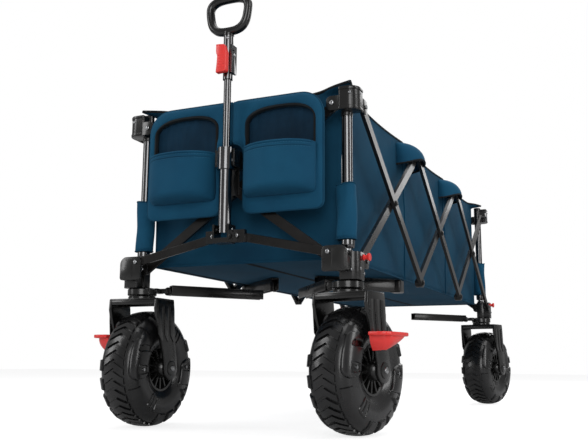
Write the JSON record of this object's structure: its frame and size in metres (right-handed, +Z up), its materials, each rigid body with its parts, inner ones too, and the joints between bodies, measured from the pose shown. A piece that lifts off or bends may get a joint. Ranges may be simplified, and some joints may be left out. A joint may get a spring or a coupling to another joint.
{
  "type": "folding beach cart",
  "caption": "Long folding cloth cart on four wide balloon casters, with scissor sides, telescoping pull handle and two front pockets.",
  "frame": {"origin": "on the ground, midway between the four casters", "axes": "+X to the cart's right, +Y to its rear (the handle is at -Y), +Z up"},
  "size_m": [0.71, 1.6288, 0.918],
  "materials": {
    "tyre": "satin moulded",
    "hub_plastic": "satin",
    "black_plastic": "satin moulded",
    "bar_paint": "satin powder coat",
    "tube_paint": "gloss powder coat",
    "red_plastic": "gloss",
    "grip_rubber": "semi gloss",
    "cloth": "woven polyester"
  },
  "bodies": {
    "collar": {"front_collar": "black_plastic"},
    "xbar_f1": {"xbar_f1": "bar_paint"},
    "xbar_f2": {"xbar_f2": "bar_paint"},
    "post_fr": {"post_fr": "tube_paint", "front_panel": "cloth", "side_panel_r": "cloth", "pocket_r": "cloth"},
    "post_fl": {"post_fl": "tube_paint", "side_panel_l": "cloth", "pocket_l": "cloth"},
    "base_fr": {"base_fr": "black_plastic"},
    "base_fl": {"base_fl": "black_plastic"},
    "bar_l_a": {"bar_l_a": "bar_paint"},
    "bar_l_b": {"bar_l_b": "bar_paint"},
    "bar_l_c": {"bar_l_c": "bar_paint"},
    "bar_l_d": {"bar_l_d": "bar_paint"},
    "bar_l_e": {"bar_l_e": "bar_paint"},
    "bar_l_f": {"bar_l_f": "bar_paint"},
    "post_rl": {"post_rl": "tube_paint"},
    "base_rl": {"base_rl": "black_plastic"},
    "bar_r_a": {"bar_r_a": "bar_paint"},
    "bar_r_b": {"bar_r_b": "bar_paint"},
    "bar_r_c": {"bar_r_c": "bar_paint"},
    "bar_r_d": {"bar_r_d": "bar_paint"},
    "bar_r_e": {"bar_r_e": "bar_paint"},
    "bar_r_f": {"bar_r_f": "bar_paint"},
    "post_rr": {"post_rr": "tube_paint", "rear_panel": "cloth"},
    "base_rr": {"base_rr": "black_plastic"},
    "xbar_r1": {"xbar_r1": "bar_paint"},
    "xbar_r2": {"xbar_r2": "bar_paint"},
    "link_l": {"link_l": "bar_paint"},
    "link_r": {"link_r": "bar_paint"},
    "hub": {"front_hub": "black_plastic"},
    "floor_l": {"floor_l": "cloth", "floor_arm_ml": "bar_paint"},
    "floor_r": {"floor_r": "cloth", "floor_arm_mr": "bar_paint"},
    "arm_fl": {"floor_arm_fl": "bar_paint"},
    "arm_fr": {"floor_arm_fr": "bar_paint"},
    "arm_rl": {"floor_arm_rl": "bar_paint"},
    "arm_rr": {"floor_arm_rr": "bar_paint"},
    "handle_outer": {"handle_outer": "tube_paint"},
    "handle_stem": {"handle_stem": "tube_paint", "grip": "grip_rubber"},
    "latch": {"latch": "red_plastic"},
    "fork_fl": {"fork_fl": "black_plastic"},
    "wheel_fl": {"tyre_fl": "tyre", "rim_fl": "hub_plastic"},
    "brake_fl": {"brake_fl": "red_plastic"},
    "fork_fr": {"fork_fr": "black_plastic"},
    "wheel_fr": {"tyre_fr": "tyre", "rim_fr": "hub_plastic"},
    "brake_fr": {"brake_fr": "red_plastic"},
    "fork_rl": {"fork_rl": "black_plastic"},
    "wheel_rl": {"tyre_rl": "tyre", "rim_rl": "hub_plastic"},
    "fork_rr": {"fork_rr": "black_plastic"},
    "wheel_rr": {"tyre_rr": "tyre", "rim_rr": "hub_plastic"}
  },
  "joints": [
    {"name": "fold", "type": "hinge", "parent": "collar", "child": "xbar_f2", "pos_m": [0, -0.7345, 0.497], "axis": [0, -1, 0], "range_deg": [0, 34], "deforming": ["front_panel", "rear_panel", "side_panel_l", "side_panel_r", "floor_l", "floor_r", "pocket_l", "pocket_r"]},
    {"name": "xbar_f1_hinge", "type": "hinge", "parent": "collar", "child": "xbar_f1", "pos_m": [0, -0.7345, 0.497], "axis": [0, 1, 0], "range_deg": [0, 34.5]},
    {"name": "post_fr_hinge", "type": "hinge", "parent": "xbar_f2", "child": "post_fr", "pos_m": [0.2225, -0.7345, 0.657], "axis": [0, 1, 0], "range_deg": [0, 34.5]},
    {"name": "post_fl_hinge", "type": "hinge", "parent": "xbar_f1", "child": "post_fl", "pos_m": [-0.2225, -0.7345, 0.657], "axis": [0, -1, 0], "range_deg": [0, 34.5]},
    {"name": "base_fl_hinge", "type": "hinge", "parent": "xbar_f2", "child": "base_fl", "pos_m": [-0.2225, -0.7345, 0.337], "axis": [0, 1, 0], "range_deg": [0, 34.5]},
    {"name": "base_fr_hinge", "type": "hinge", "parent": "xbar_f1", "child": "base_fr", "pos_m": [0.2225, -0.7345, 0.337], "axis": [0, -1, 0], "range_deg": [0, 34.5]},
    {"name": "bar_l_a_hinge", "type": "hinge", "parent": "post_fl", "child": "bar_l_a", "pos_m": [-0.2635, -0.6975, 0.657], "axis": [-1, 0, 0], "range_deg": [0, 34.5]},
    {"name": "bar_l_b_hinge", "type": "hinge", "parent": "bar_l_a", "child": "bar_l_b", "pos_m": [-0.2635, -0.475, 0.497], "axis": [1, 0, 0], "range_deg": [0, 68.5]},
    {"name": "bar_l_c_hinge", "type": "hinge", "parent": "bar_l_b", "child": "bar_l_c", "pos_m": [-0.2635, -0.2525, 0.657], "axis": [-1, 0, 0], "range_deg": [0, 68.5]},
    {"name": "bar_l_d_hinge", "type": "hinge", "parent": "bar_l_c", "child": "bar_l_d", "pos_m": [-0.2635, -0.03, 0.497], "axis": [1, 0, 0], "range_deg": [0, 68.5]},
    {"name": "bar_l_e_hinge", "type": "hinge", "parent": "bar_l_d", "child": "bar_l_e", "pos_m": [-0.2635, 0.1925, 0.657], "axis": [-1, 0, 0], "range_deg": [0, 68.5]},
    {"name": "bar_l_f_hinge", "type": "hinge", "parent": "bar_l_e", "child": "bar_l_f", "pos_m": [-0.2635, 0.415, 0.497], "axis": [1, 0, 0], "range_deg": [0, 68.5]},
    {"name": "post_rl_hinge", "type": "hinge", "parent": "bar_l_f", "child": "post_rl", "pos_m": [-0.2635, 0.6375, 0.657], "axis": [-1, 0, 0], "range_deg": [0, 34.5]},
    {"name": "base_rl_hinge", "type": "hinge", "parent": "bar_l_e", "child": "base_rl", "pos_m": [-0.2635, 0.6375, 0.337], "axis": [1, 0, 0], "range_deg": [0, 34.5]},
    {"name": "bar_r_a_hinge", "type": "hinge", "parent": "post_fr", "child": "bar_r_a", "pos_m": [0.2635, -0.6975, 0.657], "axis": [-1, 0, 0], "range_deg": [0, 34.5]},
    {"name": "bar_r_b_hinge", "type": "hinge", "parent": "bar_r_a", "child": "bar_r_b", "pos_m": [0.2635, -0.475, 0.497], "axis": [1, 0, 0], "range_deg": [0, 68.5]},
    {"name": "bar_r_c_hinge", "type": "hinge", "parent": "bar_r_b", "child": "bar_r_c", "pos_m": [0.2635, -0.2525, 0.657], "axis": [-1, 0, 0], "range_deg": [0, 68.5]},
    {"name": "bar_r_d_hinge", "type": "hinge", "parent": "bar_r_c", "child": "bar_r_d", "pos_m": [0.2635, -0.03, 0.497], "axis": [1, 0, 0], "range_deg": [0, 68.5]},
    {"name": "bar_r_e_hinge", "type": "hinge", "parent": "bar_r_d", "child": "bar_r_e", "pos_m": [0.2635, 0.1925, 0.657], "axis": [-1, 0, 0], "range_deg": [0, 68.5]},
    {"name": "bar_r_f_hinge", "type": "hinge", "parent": "bar_r_e", "child": "bar_r_f", "pos_m": [0.2635, 0.415, 0.497], "axis": [1, 0, 0], "range_deg": [0, 68.5]},
    {"name": "post_rr_hinge", "type": "hinge", "parent": "bar_r_f", "child": "post_rr", "pos_m": [0.2635, 0.6375, 0.657], "axis": [-1, 0, 0], "range_deg": [0, 34.5]},
    {"name": "base_rr_hinge", "type": "hinge", "parent": "bar_r_e", "child": "base_rr", "pos_m": [0.2635, 0.6375, 0.337], "axis": [1, 0, 0], "range_deg": [0, 34.5]},
    {"name": "xbar_r1_hinge", "type": "hinge", "parent": "post_rl", "child": "xbar_r1", "pos_m": [-0.2225, 0.6745, 0.657], "axis": [0, 1, 0], "range_deg": [0, 34.5]},
    {"name": "xbar_r2_hinge", "type": "hinge", "parent": "post_rr", "child": "xbar_r2", "pos_m": [0.2225, 0.6745, 0.657], "axis": [0, -1, 0], "range_deg": [0, 34.5]},
    {"name": "link_l_hinge", "type": "hinge", "parent": "base_fl", "child": "link_l", "pos_m": [-0.2225, -0.7682, 0.35], "axis": [0, -1, 0], "range_deg": [0, 58.64]},
    {"name": "link_r_hinge", "type": "hinge", "parent": "base_fr", "child": "link_r", "pos_m": [0.2225, -0.7682, 0.35], "axis": [0, 1, 0], "range_deg": [0, 58.64]},
    {"name": "hub_lift", "type": "slide", "parent": "collar", "child": "hub", "axis": [0, 0, 1], "range_m": [0, 0.0488]},
    {"name": "floor_l_hinge", "type": "hinge", "parent": "post_fl", "child": "floor_l", "pos_m": [-0.2214, 0, 0.346], "axis": [0, -1, 0], "range_deg": [0, 66]},
    {"name": "floor_r_hinge", "type": "hinge", "parent": "post_fr", "child": "floor_r", "pos_m": [0.2214, 0, 0.346], "axis": [0, 1, 0], "range_deg": [0, 66]},
    {"name": "arm_fl_hinge", "type": "hinge", "parent": "base_fl", "child": "arm_fl", "pos_m": [-0.1945, -0.6835, 0.293], "axis": [0, -1, 0], "range_deg": [0, 69.5]},
    {"name": "arm_fr_hinge", "type": "hinge", "parent": "base_fr", "child": "arm_fr", "pos_m": [0.1945, -0.6835, 0.293], "axis": [0, 1, 0], "range_deg": [0, 69.5]},
    {"name": "arm_rl_hinge", "type": "hinge", "parent": "base_rl", "child": "arm_rl", "pos_m": [-0.1945, 0.6235, 0.293], "axis": [0, -1, 0], "range_deg": [0, 69.5]},
    {"name": "arm_rr_hinge", "type": "hinge", "parent": "base_rr", "child": "arm_rr", "pos_m": [0.1945, 0.6235, 0.293], "axis": [0, 1, 0], "range_deg": [0, 69.5]},
    {"name": "handle_tilt", "type": "hinge", "parent": "hub", "child": "handle_outer", "pos_m": [0, -0.7855, 0.405], "axis": [1, 0, 0], "range_deg": [0, 90]},
    {"name": "handle_slide", "type": "slide", "parent": "handle_outer", "child": "handle_stem", "axis": [0, 0, 1], "range_m": [-0.082, 0]},
    {"name": "latch_pull", "type": "hinge", "parent": "handle_stem", "child": "latch", "pos_m": [0, -0.7895, 0.79], "axis": [-1, 0, 0], "range_deg": [0, 10], "stiffness_Nm_per_rad": 0.3, "springref_deg": -8.59},
    {"name": "swivel_fl", "type": "hinge", "parent": "base_fl", "child": "fork_fl", "pos_m": [-0.2425, -0.7175, 0.285], "axis": [0, 0, 1], "continuous": true},
    {"name": "wheel_fl_spin", "type": "hinge", "parent": "fork_fl", "child": "wheel_fl", "pos_m": [-0.2425, -0.6875, 0.125], "axis": [1, 0, 0], "continuous": true},
    {"name": "brake_fl_pedal", "type": "hinge", "parent": "fork_fl", "child": "brake_fl", "pos_m": [-0.2425, -0.7015, 0.173], "axis": [-1, 0, 0], "range_deg": [0, 8]},
    {"name": "swivel_fr", "type": "hinge", "parent": "base_fr", "child": "fork_fr", "pos_m": [0.2425, -0.7175, 0.285], "axis": [0, 0, 1], "continuous": true},
    {"name": "wheel_fr_spin", "type": "hinge", "parent": "fork_fr", "child": "wheel_fr", "pos_m": [0.24822, -0.68805, 0.125], "axis": [0.9816, -0.1908, 0], "continuous": true},
    {"name": "brake_fr_pedal", "type": "hinge", "parent": "fork_fr", "child": "brake_fr", "pos_m": [0.24555, -0.70179, 0.173], "axis": [-0.9816, 0.1908, 0], "range_deg": [0, 8]},
    {"name": "swivel_rl", "type": "hinge", "parent": "base_rl", "child": "fork_rl", "pos_m": [-0.2425, 0.6575, 0.285], "axis": [0, 0, 1], "continuous": true},
    {"name": "wheel_rl_spin", "type": "hinge", "parent": "fork_rl", "child": "wheel_rl", "pos_m": [-0.2425, 0.6875, 0.125], "axis": [1, 0, 0], "continuous": true},
    {"name": "swivel_rr", "type": "hinge", "parent": "base_rr", "child": "fork_rr", "pos_m": [0.2425, 0.6575, 0.285], "axis": [0, 0, 1], "continuous": true},
    {"name": "wheel_rr_spin", "type": "hinge", "parent": "fork_rr", "child": "wheel_rr", "pos_m": [0.24925, 0.68673, 0.125], "axis": [0.9744, -0.225, 0], "continuous": true}
  ],
  "couplings": [
    {"joint": "xbar_f1_hinge", "follows": "fold", "ratio": 1},
    {"joint": "post_fr_hinge", "follows": "fold", "ratio": 1},
    {"joint": "post_fl_hinge", "follows": "fold", "ratio": 1},
    {"joint": "base_fl_hinge", "follows": "fold", "ratio": 1},
    {"joint": "base_fr_hinge", "follows": "fold", "ratio": 1},
    {"joint": "bar_l_a_hinge", "follows": "fold", "ratio": 1},
    {"joint": "bar_l_b_hinge", "follows": "fold", "ratio": 2},
    {"joint": "bar_l_c_hinge", "follows": "fold", "ratio": 2},
    {"joint": "bar_l_d_hinge", "follows": "fold", "ratio": 2},
    {"joint": "bar_l_e_hinge", "follows": "fold", "ratio": 2},
    {"joint": "bar_l_f_hinge", "follows": "fold", "ratio": 2},
    {"joint": "post_rl_hinge", "follows": "fold", "ratio": 1},
    {"joint": "base_rl_hinge", "follows": "fold", "ratio": 1},
    {"joint": "bar_r_a_hinge", "follows": "fold", "ratio": 1},
    {"joint": "bar_r_b_hinge", "follows": "fold", "ratio": 2},
    {"joint": "bar_r_c_hinge", "follows": "fold", "ratio": 2},
    {"joint": "bar_r_d_hinge", "follows": "fold", "ratio": 2},
    {"joint": "bar_r_e_hinge", "follows": "fold", "ratio": 2},
    {"joint": "bar_r_f_hinge", "follows": "fold", "ratio": 2},
    {"joint": "post_rr_hinge", "follows": "fold", "ratio": 1},
    {"joint": "base_rr_hinge", "follows": "fold", "ratio": 1},
    {"joint": "xbar_r1_hinge", "follows": "fold", "ratio": 1},
    {"joint": "xbar_r2_hinge", "follows": "fold", "ratio": 1},
    {"joint": "link_l_hinge", "follows": "fold", "ratio": 1.71},
    {"joint": "link_r_hinge", "follows": "fold", "ratio": 1.71},
    {"joint": "hub_lift", "follows": "fold", "m_per_rad": 0.081396},
    {"joint": "floor_l_hinge", "follows": "fold", "ratio": 1.9265},
    {"joint": "floor_r_hinge", "follows": "fold", "ratio": 1.9265},
    {"joint": "arm_fl_hinge", "follows": "fold", "ratio": 2.0294},
    {"joint": "arm_fr_hinge", "follows": "fold", "ratio": 2.0294},
    {"joint": "arm_rl_hinge", "follows": "fold", "ratio": 2.0294},
    {"joint": "arm_rr_hinge", "follows": "fold", "ratio": 2.0294}
  ]
}
